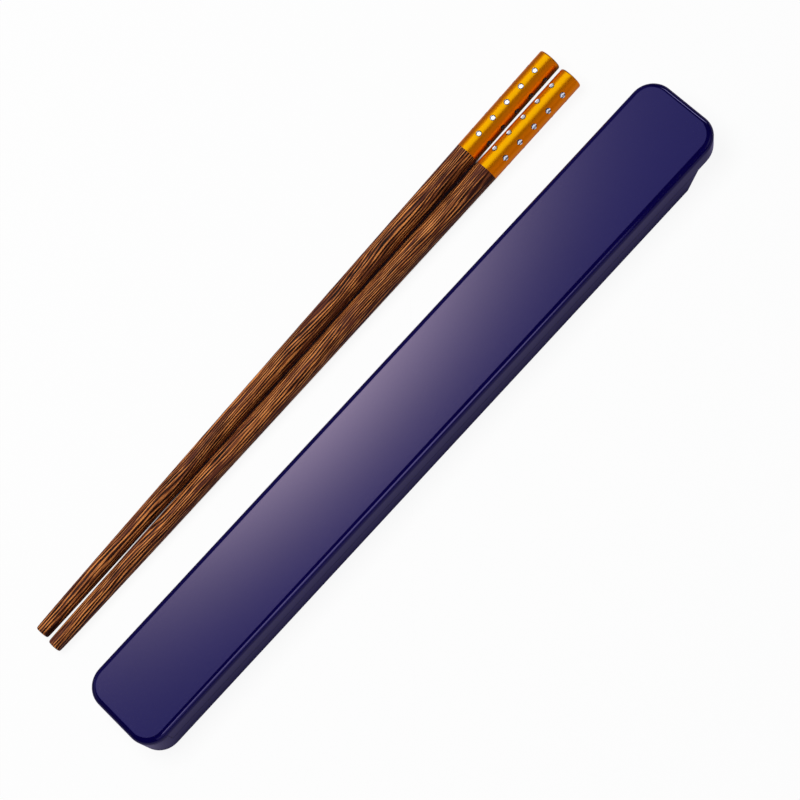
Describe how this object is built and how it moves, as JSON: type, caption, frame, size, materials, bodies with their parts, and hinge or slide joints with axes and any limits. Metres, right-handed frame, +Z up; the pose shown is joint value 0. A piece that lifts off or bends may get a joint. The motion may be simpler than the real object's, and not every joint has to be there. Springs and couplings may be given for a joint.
{
  "type": "chopstick case",
  "caption": "Slim rounded travel case with a slide-off lid over a sloped finger grip, and the tapered wooden chopsticks that it carries, with metal caps set with small stones.",
  "frame": {"origin": "centre of the case's length and width, on the face that the tray rests on", "axes": "+X along the case towards the finger grip, the way the lid slides off; +Z up; the chopsticks lie on the +Y side"},
  "size_m": [0.246, 0.0636, 0.0127],
  "materials": {
    "case_plastic": "glossy navy moulding",
    "stick_wood": "oiled, dark and light brown stripes",
    "cap_metal": "satin, gold anodised",
    "cap_stone": "cut, polished"
  },
  "bodies": {
    "tray": {"case_tray": "case_plastic"},
    "lid": {"slide_lid": "case_plastic"},
    "left_chopstick": {"left_chopstick_shaft": "stick_wood", "left_chopstick_cap": "cap_metal", "left_cap_stones_1": "cap_stone", "left_cap_stones_2": "cap_stone", "left_cap_stones_3": "cap_stone", "left_cap_stones_4": "cap_stone", "left_cap_stones_5": "cap_stone"},
    "right_chopstick": {"right_chopstick_shaft": "stick_wood", "right_chopstick_cap": "cap_metal", "right_cap_stones_1": "cap_stone", "right_cap_stones_2": "cap_stone", "right_cap_stones_3": "cap_stone", "right_cap_stones_4": "cap_stone", "right_cap_stones_5": "cap_stone"}
  },
  "joints": [
    {"name": "lid_slide", "type": "slide", "parent": "tray", "child": "lid", "axis": [1, 0, 0], "range_m": [0, 0.24]},
    {"name": "left_chopstick_lift", "type": "slide", "parent": "tray", "child": "left_chopstick", "axis": [0, 0, 1], "range_m": [0, 0.06]},
    {"name": "right_chopstick_lift", "type": "slide", "parent": "tray", "child": "right_chopstick", "axis": [0, 0, 1], "range_m": [0, 0.06]}
  ]
}
